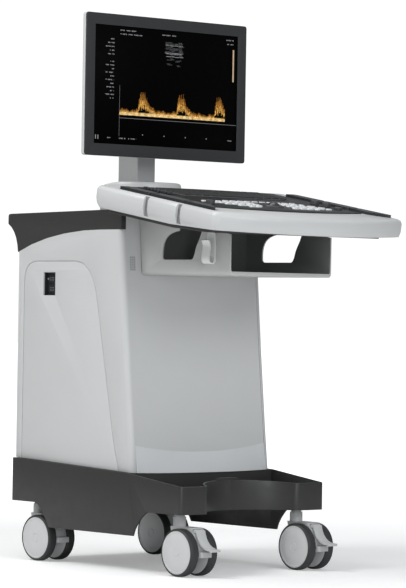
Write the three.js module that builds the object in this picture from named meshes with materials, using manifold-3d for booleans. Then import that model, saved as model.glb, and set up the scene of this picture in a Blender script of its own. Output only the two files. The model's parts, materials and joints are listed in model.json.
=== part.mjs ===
// Trolley-mounted ultrasound machine: a wheeled base, an equipment cabinet, a sloping
// control console with probe holders, and a flat monitor that swivels and tilts on a post.
// Units are millimetres, +Z is up, -Y is the operator's side, and the body is symmetric about X = 0
// apart from the cable hook and the port block, which are on its left (-X) side.
import * as THREE from 'three';
import { mergeVertices } from 'three/addons/utils/BufferGeometryUtils.js';
import Module from 'manifold-3d';

const wasm = await Module();
wasm.setup();

// ---------------------------------------------------------------- driving dimensions
// Y is measured from a datum plane. The finished machine is moved by CENTRING so that the
// middle of its overall box stands on the origin.
const CENTRING = 19.5;
const GAP = 0.4; // clearance left between pieces that touch
const OVERSHOOT = 1; // how far a cutter runs past the face that it cuts

const base = {
  halfWidth: 206.5, frontHalfWidth: 203, rearY: 357, kinkY: -38,
  cornerY: -206, frontY: -204.5, cornerRadius: 10,
  rearTopZ: 222, kinkTopZ: 206.6, frontTopZ: 186, wellTopZ: 191.5, bottomZ: 128, skirtZ: 76,
  lobeX: 127, recessY: -120, wall: 4, floorZ: 152, kickBulge: 14,
};
const frame = { railX: 165.5, railWidth: 36, bottomZ: 128, topZ: 150, frontY: -186, rearY: 340, bar: 30 };
const caster = {
  frontY: -160, rearY: 311, trail: 32, axleZ: 50, wheelRadius: 50, wheelWidth: 22, wheelX: 25.5,
  hubRadius: 46, bodyHalf: 14, axleRadius: 4, boreRadius: 4.4, stemRadius: 5.5,
  pedalHalf: 12, pedalPlate: 3.5, pivotY: -61, pivotZ: 95, pivotRadius: 4,
};
const cabinet = {
  halfWidth: 196, rearY: 362.4, wall: 3.6, corner: 12, rearCorner: 4, seamX: 183.8,
  topZ: 721, panelTopZ: 760, frontY: -40.2, frontZ: 208, lean: 0.116, curve: -3.63e-5, rearCoverY: 354.4,
};
const cover = {
  thickness: 2.2, pocket: 2.5, seam: 1.2, rearY: 339, topZ: 653, corner: 46,
  portY: [231, 272], portZ: [579, 629],
};
const cap = {
  frontY: 9, topZ: 764, rearTopZ: 758, rearY: 401, rearLowZ: 736,
  tipY: 365, tipZ: 673.5, tailY: 369, wall: 3.5,
};
const grip = { halfWidth: 135, barFront: 384, gapFront: 370 };
const deck = { y: -125, z: 791, slope: THREE.MathUtils.degToRad(9.2) };
const shell = {
  rearHalf: 266, frontHalf: 266, rearV: 141, apexV: -320.56,
  frontRadius: 534, cornerRadius: 20, rearRadius: 15, height: 46.8,
  edge: 9, draft: 9, wall: 3.6, hollowX: 212, hollowFront: -252, hollowRear: 96,
};
const plinth = {
  radius: 89, y: 181, topZ: 829, fall: 0.1, round: 6, wall: 5,
  neckHalf: 80, neckTopZ: 806, neckY: -18,
};
const panel = {
  halfWidth: 210, rearV: 126, rearSideV: 107, sideV: -178, apexV: -205, proud: 2, sink: 1.6,
};
const holder = {
  inner: 221, outer: 252, wells: [[-16, 77], [-124, -23], [-225, -128]],
  depth: 31, rim: 6, wall: 2.4, corner: 9, nose: 44, tip: 4, cupTip: 0.6,
};
const hollowPlug = shell.hollowX - GAP;
const channelV = [-30, -135];
const channel = { width: 14, depth: 6 };
const post = {
  halfX: 26, y: 196, halfY: 33, topZ: 990, corner: 3, socket: 18,
  footX: 17, footY: 25, footZ: 742.4,
};
const screen = {
  frontY: 96, halfWidth: 229, bottomZ: 880, topZ: 1185.5, bezel: 2.6, rimDepth: 12, backY: 145,
  activeHalf: 204.1, activeBottomZ: 906, activeTopZ: 1161.2, pivotY: 153, pivotZ: 1033,
};
const box = { halfWidth: 143.5, wall: 3.5, frontY: -280, bottomZ: 625, floor: 8, edge: 8 };
const hook = { y: [-236, -211], z: [648, 716], thickness: 3, reach: 17.5 };

const STEPS = 5; // segments in a quarter of a small arc

// ---------------------------------------------------------------- materials
const finish = (color, roughness, metalness = 0) =>
  new THREE.MeshStandardMaterial({ color, roughness, metalness });
const lightGrey = finish(0xc6c8c8, 0.5);
const darkGrey = finish(0x3f3f3c, 0.6);
const blackPlastic = finish(0x1c1d1f, 0.5);
const keyBlack = finish(0x26282b, 0.7);
const keyWhite = finish(0xe9eaea, 0.6);
const tyreGrey = finish(0x55585a, 0.8);
const hookWhite = finish(0xdfe1df, 0.45);
const bezelGrey = finish(0x3a3c3c, 0.4);
const glassBlack = finish(0x0a0a0c, 0.15);
const steel = finish(0x9a9c9e, 0.35, 1);
const sheetMetal = finish(0xb4b7ba, 0.45, 0.9);
const knobGrey = finish(0x44474a, 0.5);
const ballResin = finish(0x33353a, 0.25);

// ---------------------------------------------------------------- solids
// A closed three.js geometry as a manifold solid.
function solid(geometry) {
  const bare = geometry.clone();
  bare.deleteAttribute('normal');
  bare.deleteAttribute('uv');
  const merged = mergeVertices(bare, 1e-4);
  const vertProperties = new Float32Array(merged.attributes.position.array);
  const triVerts = new Uint32Array(merged.index.array);
  return new wasm.Manifold(new wasm.Mesh({ numProp: 3, vertProperties, triVerts }));
}

function join(...pieces) {
  return pieces.reduce((whole, piece) => whole.add(piece));
}

function cut(body, ...cutters) {
  return cutters.reduce((rest, cutter) => rest.subtract(cutter), body);
}

function geometryOf(manifold) {
  const mesh = manifold.getMesh();
  const geometry = new THREE.BufferGeometry();
  geometry.setAttribute('position', new THREE.BufferAttribute(new Float32Array(mesh.vertProperties), 3));
  geometry.setIndex(new THREE.BufferAttribute(new Uint32Array(mesh.triVerts), 1));
  geometry.computeVertexNormals();
  return geometry;
}

function block([x0, x1], [y0, y1], [z0, z1]) {
  const geometry = new THREE.BoxGeometry(x1 - x0, y1 - y0, z1 - z0);
  geometry.translate((x0 + x1) / 2, (y0 + y1) / 2, (z0 + z1) / 2);
  return solid(geometry);
}

// Frames that carry a shape's plane and its extrusion onto the three axes.
// x: the shape is drawn in (Y, Z). y: the shape is drawn in (X, Z). z: the shape is drawn in (X, Y).
const X = new THREE.Vector3(1, 0, 0);
const Y = new THREE.Vector3(0, 1, 0);
const Z = new THREE.Vector3(0, 0, 1);
const PLANES = {
  x: new THREE.Matrix4().makeBasis(Y, Z, X),
  y: new THREE.Matrix4().makeBasis(X, Z, Y.clone().negate()),
  z: new THREE.Matrix4(),
};

// A flat outline extruded along an axis between two positions.
function plate(axis, shape, from, to, curveSegments = STEPS) {
  const geometry = new THREE.ExtrudeGeometry(shape, { depth: to - from, bevelEnabled: false, curveSegments });
  geometry.translate(0, 0, axis === 'y' ? -to : from);
  geometry.applyMatrix4(PLANES[axis]);
  return solid(geometry);
}

// A round bar along an axis, centred on (a, b) in the plane that the axis crosses.
function bar(axis, radius, [from, to], [a, b], segments = 24) {
  const shape = new THREE.Shape();
  shape.absarc(a, b, radius, 0, 2 * Math.PI);
  return plate(axis, shape, from, to, segments);
}

function outline(points) {
  return new THREE.Shape(points.map(([a, b]) => new THREE.Vector2(a, b)));
}

function roundedRect([a0, a1], [b0, b1], r) {
  const shape = new THREE.Shape();
  shape.absarc(a1 - r, b0 + r, r, -Math.PI / 2, 0);
  shape.absarc(a1 - r, b1 - r, r, 0, Math.PI / 2);
  shape.absarc(a0 + r, b1 - r, r, Math.PI / 2, Math.PI);
  shape.absarc(a0 + r, b0 + r, r, Math.PI, 1.5 * Math.PI);
  shape.closePath();
  return shape;
}

// Skin over rings that have the same number of points, closed by flat ends.
// The first ring is the low end, and each ring runs anticlockwise seen from the far end.
// drawn() gives a ring point's place in the plane that the ends are triangulated in.
function loft(rings, drawn = ([x, y]) => new THREE.Vector2(x, y)) {
  const count = rings[0].length;
  const positions = rings.flat(2);
  const indices = [];
  for (let ring = 0; ring + 1 < rings.length; ring += 1) {
    for (let i = 0; i < count; i += 1) {
      const a = ring * count + i;
      const b = ring * count + ((i + 1) % count);
      indices.push(a, b, b + count, a, b + count, a + count);
    }
  }
  const last = (rings.length - 1) * count;
  for (const [a, b, c] of THREE.ShapeUtils.triangulateShape(rings[0].map(drawn), [])) {
    indices.push(a, c, b);
  }
  for (const [a, b, c] of THREE.ShapeUtils.triangulateShape(rings.at(-1).map(drawn), [])) {
    indices.push(last + a, last + b, last + c);
  }
  const geometry = new THREE.BufferGeometry();
  geometry.setAttribute('position', new THREE.Float32BufferAttribute(positions, 3));
  geometry.setIndex(indices);
  return geometry;
}

// Anticlockwise ring of a rounded rectangle, as [a, b] pairs.
function ringOf(shape, segments = STEPS) {
  const points = shape.getPoints(segments);
  const kept = points.filter((p, i) => p.distanceTo(points[(i + 1) % points.length]) > 1e-3);
  const ordered = THREE.ShapeUtils.isClockWise(kept) ? kept.reverse() : kept;
  return ordered.map((p) => [p.x, p.y]);
}

const machine = new THREE.Group();
machine.position.y = CENTRING;

function place(name, geometryOrSolid, material, parent = machine) {
  const geometry = geometryOrSolid.isBufferGeometry ? geometryOrSolid : geometryOf(geometryOrSolid);
  const mesh = new THREE.Mesh(geometry, material);
  mesh.name = name;
  parent.add(mesh);
  return mesh;
}

// ---------------------------------------------------------------- shared profiles
// Y of the cabinet's leaning front face at a height.
function frontFace(z) {
  const rise = z - cabinet.frontZ;
  return cabinet.frontY + cabinet.lean * rise + cabinet.curve * rise * rise;
}

// The space in front of the cabinet's front face, pushed back by an offset.
function aheadOfFront(offset, halfWidth) {
  const heights = [180, 260, 350, 450, 550, 650, 790];
  const face = heights.map((z) => [frontFace(z) + offset, z]);
  const profile = outline([...face, [-500, 790], [-500, 180]]);
  return plate('x', profile, -halfWidth, halfWidth);
}

// The skirt's rim seen from the side, from its rear end to its front end.
const rimLine = [
  [base.rearY, base.rearTopZ],
  [base.kinkY, base.kinkTopZ],
  [base.frontY, base.frontTopZ],
];

// ---------------------------------------------------------------- base
function skirtPlan(inset) {
  const half = base.halfWidth - inset;
  const front = base.frontHalfWidth - inset;
  const recessDepth = base.recessY - base.frontY;
  const recessRadius = (base.lobeX ** 2 + recessDepth ** 2) / (2 * recessDepth);
  const centreY = base.recessY - recessRadius;
  const frontY = base.frontY + inset;
  const radius = recessRadius + inset;
  const endX = Math.sqrt(radius ** 2 - (frontY - centreY) ** 2);
  const round = base.cornerRadius - inset;
  const endAngle = Math.atan2(frontY - centreY, endX) + round / radius;
  const arcEnd = [radius * Math.cos(endAngle), centreY + radius * Math.sin(endAngle)];
  const shape = new THREE.Shape();
  shape.moveTo(-half, base.rearY - inset);
  shape.lineTo(-half, base.kinkY);
  shape.lineTo(-front, base.cornerY + inset + round);
  shape.quadraticCurveTo(-front, base.cornerY + inset, -front + round, base.cornerY + inset);
  shape.lineTo(-endX - round, frontY);
  shape.quadraticCurveTo(-endX, frontY, -arcEnd[0], arcEnd[1]);
  shape.absarc(0, centreY, radius, Math.PI - endAngle, endAngle, true);
  shape.quadraticCurveTo(endX, frontY, endX + round, frontY);
  shape.lineTo(front - round, base.cornerY + inset);
  shape.quadraticCurveTo(front, base.cornerY + inset, front, base.cornerY + inset + round);
  shape.lineTo(half, base.kinkY);
  shape.lineTo(half, base.rearY - inset);
  return shape;
}

function skirtSide() {
  const shape = new THREE.Shape();
  shape.moveTo(base.rearY + OVERSHOOT, base.rearTopZ);
  shape.lineTo(base.kinkY, base.kinkTopZ);
  shape.lineTo(base.frontY - OVERSHOOT, base.frontTopZ);
  shape.lineTo(base.frontY - OVERSHOOT, base.bottomZ);
  shape.lineTo(-98, base.bottomZ);
  shape.quadraticCurveTo(-63.5, 102, -57, base.skirtZ);
  shape.lineTo(227.6, base.skirtZ);
  shape.quadraticCurveTo(253, 122, 278, base.bottomZ);
  shape.lineTo(base.rearY + OVERSHOOT, base.bottomZ);
  return shape;
}

// The foot well's rear wall bulges forward under the kick panel.
function kickPlan(inset) {
  const half = base.halfWidth + OVERSHOOT;
  const y = base.kinkY - inset;
  const shape = new THREE.Shape();
  shape.moveTo(-half, y);
  shape.quadraticCurveTo(0, y - 2 * base.kickBulge, half, y);
  shape.lineTo(half, base.rearY + OVERSHOOT);
  shape.lineTo(-half, base.rearY + OVERSHOOT);
  return shape;
}

function baseSkirt() {
  const inner = skirtPlan(base.wall);
  const outer = plate('z', skirtPlan(0), 60, 240, 12).intersect(plate('x', skirtSide(), -220, 220, 4));
  const upperFront = cut(
    plate('z', inner, base.floorZ + base.wall, 240, 12),
    plate('z', kickPlan(0), 60, 240, 8),
  );
  const lowerRim = rimLine.map(([y, z]) => [y, z - base.wall]);
  const underDeck = plate('z', inner, 60, 240, 12)
    .intersect(plate('z', kickPlan(-base.wall), 60, 240, 8))
    .intersect(plate('x', outline([...lowerRim, [base.frontY, 50], [base.rearY, 50]]), -220, 220));
  const underFloor = plate('z', inner, 60, base.floorZ, 12);
  const rim = outline([
    [base.frontY - 2, base.frontTopZ],
    [base.recessY, base.wellTopZ],
    [base.recessY, 240],
    [base.frontY - 2, 240],
  ]);
  const rimCut = plate('x', rim, -base.lobeX - 60, base.lobeX + 60);
  const passage = block([-166, 166], [-12, 338], [190, 240]);
  return cut(outer, upperFront, underDeck, underFloor, rimCut, passage);
}

function baseFrame() {
  const { railX, railWidth, bottomZ, topZ, frontY, rearY, bar: depth } = frame;
  const rails = [-1, 1].map((side) =>
    block([side * railX - railWidth / 2, side * railX + railWidth / 2], [frontY, rearY], [bottomZ, topZ]));
  const bars = [-70, 95, 290].map((y) => block([-railX, railX], [y, y + depth], [bottomZ + 2, topZ]));
  const holes = [-1, 1].flatMap((side) => [caster.frontY, caster.rearY].map((y) =>
    bar('z', caster.stemRadius + 0.5, [bottomZ - 1, topZ + 1], [side * railX, y], 10)));
  return cut(join(...rails, ...bars), ...holes);
}

// ---------------------------------------------------------------- casters
// Each caster is drawn about its swivel axis, with the wheels trailing towards the operator.
function forkBody() {
  const shape = new THREE.Shape();
  shape.moveTo(13, 102);
  shape.lineTo(-59, 102);
  shape.lineTo(-62.5, 90);
  shape.quadraticCurveTo(-66, 76, -74, 65);
  shape.lineTo(-75, 54);
  shape.lineTo(-87, 53);
  shape.lineTo(-87, 42);
  shape.lineTo(-54, 38);
  shape.quadraticCurveTo(-32, 31, -14, 41);
  shape.quadraticCurveTo(6, 66, 13, 102);
  const half = caster.bodyHalf;
  const body = plate('x', shape, -half, half, 4);
  const neck = bar('z', half - 0.4, [95, 122], [0, 0], 14);
  const collar = bar('z', 11, [121, frame.bottomZ - GAP], [0, 0], 14);
  const stem = bar('z', caster.stemRadius, [127, frame.topZ - 4], [0, 0], 10);
  const bore = bar('x', caster.boreRadius, [-half - 1, half + 1], [-caster.trail, caster.axleZ], 10);
  const seat = bar('x', caster.pivotRadius + 1.2, [-half - 1, half + 1], [caster.pivotY, caster.pivotZ], 12);
  return cut(join(body, neck, collar, stem), bore, seat);
}

// A strip of even thickness along a curve.
function strip(curve, thickness, steps) {
  const points = curve.getPoints(steps);
  const normals = points.map((p, i) => {
    const tangent = curve.getTangent(i / steps);
    return new THREE.Vector2(-tangent.y, tangent.x).multiplyScalar(thickness / 2);
  });
  const upper = points.map((p, i) => p.clone().add(normals[i]));
  const lower = points.map((p, i) => p.clone().sub(normals[i])).reverse();
  return new THREE.Shape([...upper, ...lower]);
}

function brakePedal() {
  const { pedalHalf: half, pivotY, pivotZ, pivotRadius } = caster;
  const sweep = new THREE.QuadraticBezierCurve(
    new THREE.Vector2(-66, 97),
    new THREE.Vector2(-74, 58),
    new THREE.Vector2(-114, 58.5),
  );
  const blade = plate('x', strip(sweep, caster.pedalPlate, 8), -half, half);
  const hub = bar('x', pivotRadius, [-half, half], [pivotY, pivotZ], 12);
  const web = block([-half, half], [-67, pivotY], [pivotZ - 3, pivotZ + 2]);
  const lip = plate('x', roundedRect([-116.5, -110.5], [55, 60.5], 2), -half - 1, half + 1, 2);
  return join(blade, hub, web, lip);
}

// One wheel as a turned profile (radius, distance along the axle), its hub cap facing outwards.
function wheelGeometry(side) {
  const half = caster.wheelWidth / 2;
  const { wheelRadius: r, hubRadius, boreRadius } = caster;
  const profile = [
    [0, half - 4], [boreRadius, half - 4], [boreRadius, -half], [hubRadius, -half],
    [r, -half + 4], [r, half - 4], [hubRadius, half], [hubRadius - 1, half - 0.8], [0, half - 0.4],
  ].map(([a, b]) => new THREE.Vector2(a, b));
  const geometry = new THREE.LatheGeometry(profile, 28);
  geometry.rotateZ(-Math.PI / 2 * side);
  return geometry;
}

function buildCaster(prefix, x, y, braked) {
  const group = new THREE.Group();
  group.position.set(x, y, 0);
  machine.add(group);
  place(`${prefix}_fork`, forkBody(), lightGrey, group);
  const reach = caster.wheelX + caster.wheelWidth / 2 - 4 - 1;
  const axle = bar('x', caster.axleRadius, [-reach, reach], [-caster.trail, caster.axleZ], 10);
  place(`${prefix}_axle`, axle, steel, group);
  for (const [label, side] of [['left', -1], ['right', 1]]) {
    const wheel = place(`${prefix}_wheel_${label}`, solid(wheelGeometry(side)), tyreGrey, group);
    wheel.position.set(side * caster.wheelX, -caster.trail, caster.axleZ);
  }
  if (braked) {
    place(`${prefix}_brake_pedal`, brakePedal(), lightGrey, group);
  }
}

// ---------------------------------------------------------------- cabinet
// Where the top cap meets the side panels: the cap's lower edge, from its rear tip to its front.
function capEdge(shape, lower) {
  shape.lineTo(cap.tipY, cap.tipZ - lower);
  shape.quadraticCurveTo(246.5, cabinet.topZ - lower, 74, cabinet.topZ - lower);
  shape.lineTo(cap.frontY, cabinet.topZ - lower);
}

function aboveCapEdge(lower) {
  const shape = new THREE.Shape();
  shape.moveTo(cap.tipY + 50, 800);
  shape.lineTo(cap.tipY + 50, cap.tipZ - lower);
  capEdge(shape, lower);
  shape.lineTo(cap.frontY - 40, cabinet.topZ - lower);
  shape.lineTo(cap.frontY - 40, 800);
  return shape;
}

function belowRim() {
  const line = rimLine.map(([y, z]) => [y, z + GAP]);
  line[0] = [450, base.rearTopZ + GAP + (450 - base.rearY) * 0.039];
  return plate('x', outline([...line, [-210, 100], [450, 100]]), -300, 300);
}

function coverOutline(grow) {
  const shape = new THREE.Shape();
  const rear = cover.rearY + grow;
  const top = cover.topZ + grow;
  shape.moveTo(rear, 180);
  shape.lineTo(rear, top - cover.corner);
  shape.quadraticCurveTo(rear, top, rear - cover.corner, top);
  shape.lineTo(159, top);
  shape.bezierCurveTo(118 - grow, top, 95 - grow, 612, 86.7 - grow, 570);
  shape.lineTo(75 - grow, 515);
  shape.lineTo(25.2 - grow, 273.6);
  shape.lineTo(-2 - grow, 180);
  return shape;
}

// A side panel's plan at a height: a flat wall that turns round the front corner.
function sidePlan(z) {
  const { halfWidth: w, wall, corner, seamX, rearCoverY } = cabinet;
  const y = frontFace(z);
  const rear = rearCoverY - GAP;
  const arc = (radius, start, end) => Array.from({ length: STEPS }, (_, i) => {
    const angle = start + ((end - start) * i) / (STEPS - 1);
    return [w - corner + radius * Math.cos(angle), y + corner + radius * Math.sin(angle)];
  });
  const outer = arc(corner, -Math.PI / 2, 0);
  const inner = arc(corner - wall, 0, -Math.PI / 2);
  const inside = [seamX, y + wall];
  return [[seamX, y], ...outer, [w, rear], [w - wall, rear], ...inner, inside];
}

function sidePanel(side) {
  const heights = [190, 300, 400, 500, 600, 690, 770];
  const rings = heights.map((z) => sidePlan(z).map(([x, y]) => [x, y, z]));
  const wall = solid(loft(rings));
  const w = cabinet.halfWidth;
  const pocket = plate('x', coverOutline(cover.seam), w - cover.pocket, w + OVERSHOOT);
  const portHole = block([w - 10, w + OVERSHOOT], cover.portY, cover.portZ);
  const trimmed = cut(wall, belowRim(), plate('x', aboveCapEdge(GAP), -300, 300), pocket);
  return side < 0 ? mirrored(cut(trimmed, portHole)) : trimmed;
}

// The same piece on the other side of X = 0.
function mirrored(manifold) {
  const geometry = geometryOf(manifold);
  const position = geometry.attributes.position;
  for (let i = 0; i < position.count; i += 1) {
    position.setX(i, -position.getX(i));
  }
  const index = geometry.index.array;
  for (let i = 0; i < index.length; i += 3) {
    [index[i], index[i + 1]] = [index[i + 1], index[i]];
  }
  return solid(geometry);
}

function serviceCover(side) {
  const w = cabinet.halfWidth;
  const skin = cut(plate('x', coverOutline(0), w - cover.thickness, w), belowRim());
  const window = block([w - 10, w + OVERSHOOT], cover.portY, cover.portZ);
  return side < 0 ? mirrored(cut(skin, window)) : skin;
}

// A recessed connector block: a deep tub behind the port window, with two sockets.
function portBlock() {
  const back = -(cabinet.halfWidth - cabinet.wall - GAP);
  const [y0, y1] = cover.portY;
  const [z0, z1] = cover.portZ;
  const tub = block([back, back + 30], [y0 - 6, y1 + 6], [z0 - 6, z1 + 6]);
  const recess = block([back - 1, back + 8], [y0 + 0.5, y1 - 0.5], [z0 + 0.5, z1 - 0.5]);
  const sockets = [0.28, 0.72].map((part) => {
    const z = z0 + (z1 - z0) * part;
    return block([back + 4, back + 9], [y0 + 9, y1 - 9], [z - 7, z + 7]);
  });
  return join(cut(tub, recess), ...sockets);
}

// The kick panel's curved top edge, and how far the kick panel stands forward below it.
function kickEdge(x) {
  return 248.5 + 15.5 * (x / cabinet.seamX) ** 2;
}

function kickDepth(x, z) {
  const reach = (x / cabinet.seamX) ** 2;
  return Math.max(0, (0.35 - 0.3 * reach) * (kickEdge(x) - z));
}

function frontPanel() {
  const half = cabinet.seamX - GAP;
  const columns = 15;
  const inset = 1;
  const fixed = [300, 350, 400, 480, 560, 640, 700, cabinet.panelTopZ].map((z) => () => z);
  const levels = [() => 190, (x) => kickEdge(x) - 26, kickEdge, ...fixed];
  const rings = levels.map((level) => {
    const front = Array.from({ length: columns }, (_, i) => {
      const x = -half + (2 * half * i) / (columns - 1);
      return [x, frontFace(level(x)) + inset - kickDepth(x, level(x)), level(x)];
    });
    const back = frontFace(level(half)) + inset + cabinet.wall;
    return [...front, [half, back, level(half)], [-half, back, level(half)]];
  });
  return cut(solid(loft(rings)), belowRim());
}

function rearCover() {
  const { halfWidth: w, wall, corner, rearCoverY, rearY } = cabinet;
  const r = cabinet.rearCorner;
  const shape = new THREE.Shape();
  shape.moveTo(-w, rearCoverY);
  shape.lineTo(-w + wall, rearCoverY);
  shape.lineTo(-w + wall, rearY - wall);
  shape.lineTo(w - wall, rearY - wall);
  shape.lineTo(w - wall, rearCoverY);
  shape.lineTo(w, rearCoverY);
  shape.absarc(w - r, rearY - r, r, 0, Math.PI / 2);
  shape.absarc(-w + r, rearY - r, r, Math.PI / 2, Math.PI);
  const shellPart = plate('z', shape, 100, cap.tipZ + 4);
  const vents = Array.from({ length: 9 }, (_, i) =>
    block([-90, 90], [rearY - wall - 2, rearY + 2], [360 + i * 14, 366 + i * 14]));
  return cut(shellPart, belowRim(), plate('x', aboveCapEdge(GAP), -300, 300), ...vents);
}

function topCap() {
  const w = cabinet.halfWidth;
  const shape = new THREE.Shape();
  shape.moveTo(cap.frontY, cabinet.topZ);
  shape.lineTo(cap.frontY, cap.topZ);
  shape.lineTo(cap.rearY - 8, cap.rearTopZ);
  shape.quadraticCurveTo(cap.rearY, cap.rearTopZ, cap.rearY, cap.rearTopZ - 7);
  shape.lineTo(cap.rearY, cap.rearLowZ);
  shape.quadraticCurveTo(cap.tailY, 719, cap.tipY, cap.tipZ);
  capEdge(shape, 0);
  const outer = plate('x', shape, -w, w);
  const inside = w - cap.wall;
  const roof = cap.topZ - cap.wall;
  const cavity = outline([
    [cap.frontY + cap.wall, 650], [cap.frontY + cap.wall, roof],
    [grip.gapFront - 6, roof - 5.5], [grip.gapFront - 6, 650],
  ]);
  const mouth = block([-cabinet.seamX + GAP, cabinet.seamX - GAP], [-20, 40], [700, roof]);
  const fingers = block([-grip.halfWidth, grip.halfWidth], [grip.gapFront, grip.barFront], [650, 800]);
  const under = block([-grip.halfWidth, grip.halfWidth], [grip.gapFront - 12, 420], [650, cap.rearLowZ]);
  const { footX, footY } = post;
  const slack = 0.5;
  const holeY = [post.y - footY - slack, post.y + footY + slack];
  const poleHole = block([-footX - slack, footX + slack], holeY, [700, 800]);
  return cut(outer, plate('x', cavity, -inside, inside), mouth, fingers, under, poleHole);
}

// ---------------------------------------------------------------- inside the cabinet
function rackFrame() {
  const size = 14;
  const posts = [-1, 1].flatMap((side) => [32, 318].map((y) => {
    const x = side * 152;
    return block([x - size / 2, x + size / 2], [y - size / 2, y + size / 2], [frame.topZ + GAP, 742]);
  }));
  const rings = [430, 728].flatMap((z) => [
    block([-152, 152], [32 - size / 2, 32 + size / 2], [z, z + size]),
    block([-152, 152], [318 - size / 2, 318 + size / 2], [z, z + size]),
    block([-152 - size / 2, -152 + size / 2], [32, 318], [z, z + size]),
    block([152 - size / 2, 152 + size / 2], [32, 318], [z, z + size]),
  ]);
  const headPlate = block([-152, 152], [150, 238], [728, 742]);
  return join(...posts, ...rings, headPlate);
}

function electronicsCage() {
  const outer = block([-138, 138], [50, 290], [452, 700]);
  const hollow = block([-135, 135], [49, 287], [455, 697]);
  const shelf = block([-136, 136], [60, 288], [574, 577]);
  return join(cut(outer, hollow), shelf);
}

function powerSupply() {
  const body = block([-130, 40], [60, 280], [240, 330]);
  const slots = [0, 1, 2, 3, 4].map((i) => block([-110 + i * 26, -96 + i * 26], [278, 281], [255, 315]));
  const tabs = block([-138, 48], [90, 110], [240, 244]);
  return join(cut(body, ...slots), tabs);
}

const fan = { y: [330, 355], z: 420, half: 60, bore: 55.5, hub: 19 };

function fanHousing() {
  const { y, z, half, bore } = fan;
  const square = plate('y', roundedRect([-half, half], [z - half, z + half], 6), y[0], y[1], 3);
  const tunnel = bar('y', bore, [y[0] - 1, y[1] - 6], [0, z], 32);
  const ring = bar('y', bore, [y[1] - 7, y[1] + 1], [0, z], 32);
  const spokes = [0, 1].map((i) => {
    const arm = new THREE.BoxGeometry(2 * bore + 4, 3, 5);
    arm.rotateY(Math.PI / 4 + (i * Math.PI) / 2);
    arm.translate(0, y[1] - 2, z);
    return solid(arm);
  });
  const motor = bar('y', fan.hub, [y[1] - 3.5, y[1]], [0, z], 20);
  return join(cut(square, tunnel, ring), ...spokes, motor);
}

function fanRotor() {
  const { y, z, hub, bore } = fan;
  const blades = Array.from({ length: 7 }, (_, i) => {
    const blade = new THREE.BoxGeometry(bore - hub, 2.4, 20);
    blade.rotateX(0.6);
    blade.translate((bore + hub) / 2 - 2.5, 0, 0);
    blade.rotateY((i * 2 * Math.PI) / 7);
    blade.translate(0, (y[0] + y[1]) / 2 - 3, z);
    return solid(blade);
  });
  return join(bar('y', hub, [y[0] + 2, y[1] - 5], [0, z], 20), ...blades);
}

// ---------------------------------------------------------------- console
// Console pieces are drawn flat, as (x, v, w): v runs up the slope and w stands on it, with
// w = 0 on the top face. This group lays them on the slope.
const sloped = new THREE.Group();
sloped.position.set(0, deck.y, deck.z);
sloped.rotation.x = deck.slope;
machine.add(sloped);
sloped.updateMatrix();
const toDeck = sloped.matrix.clone().invert();

function onDeck(geometry) {
  return solid(geometry.applyMatrix4(toDeck));
}

// The console's plan: nearly straight sides, rounded corners and a front bowed to one arc.
function consoleShape(inset) {
  const { rearHalf, frontHalf, rearV, apexV, frontRadius, cornerRadius, rearRadius } = shell;
  const centreV = apexV + frontRadius;
  const x = frontHalf - cornerRadius;
  const v = centreV - Math.sqrt((frontRadius - cornerRadius) ** 2 - x ** 2);
  const turn = Math.atan2(v - centreV, x);
  const r = cornerRadius - inset;
  const rr = rearRadius - inset;
  const rearX = rearHalf - rearRadius;
  const shape = new THREE.Shape();
  shape.absarc(0, centreV, frontRadius - inset, -Math.PI - turn, turn);
  shape.absarc(x, v, r, turn, 0);
  shape.absarc(rearX, rearV - rearRadius, rr, 0, Math.PI / 2);
  shape.absarc(-rearX, rearV - rearRadius, rr, Math.PI / 2, Math.PI);
  shape.absarc(-x, v, r, Math.PI, -Math.PI - turn);
  return shape;
}

function consoleRing(inset, w) {
  return ringOf(consoleShape(inset), 8).map(([x, v]) => [x, v, w]);
}

// The round foot of the monitor's post. Its top falls away gently behind the post.
function plinthRing(inset, height, steps = 40) {
  const { radius, y, fall } = plinth;
  const r = radius - inset;
  return Array.from({ length: steps }, (_, i) => {
    const angle = (2 * Math.PI * i) / steps;
    const py = y + r * Math.sin(angle);
    const drop = height === undefined ? 0 : fall * Math.max(0, py - (post.y - post.halfY));
    return [r * Math.cos(angle), py, height === undefined ? cap.topZ + GAP : height - drop];
  });
}

function plinthSolid() {
  const { topZ, round, y, radius, wall, neckHalf, neckTopZ, neckY } = plinth;
  const low = cap.topZ + GAP;
  const foot = onDeck(loft([
    plinthRing(0),
    plinthRing(0, topZ - round),
    plinthRing(round * 0.3, topZ - round * 0.3),
    plinthRing(round, topZ),
  ]));
  const neck = onDeck(new THREE.BoxGeometry(2 * neckHalf, y - neckY, neckTopZ - low)
    .translate(0, (y + neckY) / 2, (neckTopZ + low) / 2));
  const roof = neckTopZ - wall;
  const floor = low - 20;
  const inside = onDeck(new THREE.CylinderGeometry(radius - wall, radius - wall, roof - floor, 32)
    .rotateX(Math.PI / 2).translate(0, y, (roof + floor) / 2));
  return cut(join(foot, neck), inside);
}

// Plan of a holder piece on the right side. A nose longer than the corners sweeps the inner front
// corner back in a shallow curve that ends in a small tip on the outer side.
function podPlan([x0, x1], [v0, v1], r, nose = r, tipRadius = r) {
  const swept = nose > r;
  const tip = swept ? tipRadius : r;
  const end = swept ? x1 - tip : x0 + r;
  const knee = swept ? [x0 + 0.3 * (end - x0), v0 + 0.5 * nose] : [x0, v0];
  const shape = new THREE.Shape();
  shape.moveTo(x1 - tip, v0);
  shape.absarc(x1 - tip, v0 + tip, tip, -Math.PI / 2, 0);
  shape.absarc(x1 - r, v1 - r, r, 0, Math.PI / 2);
  shape.absarc(x0 + r, v1 - r, r, Math.PI / 2, Math.PI);
  shape.lineTo(x0, v0 + nose);
  shape.quadraticCurveTo(...knee, end, v0);
  return shape;
}

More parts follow.
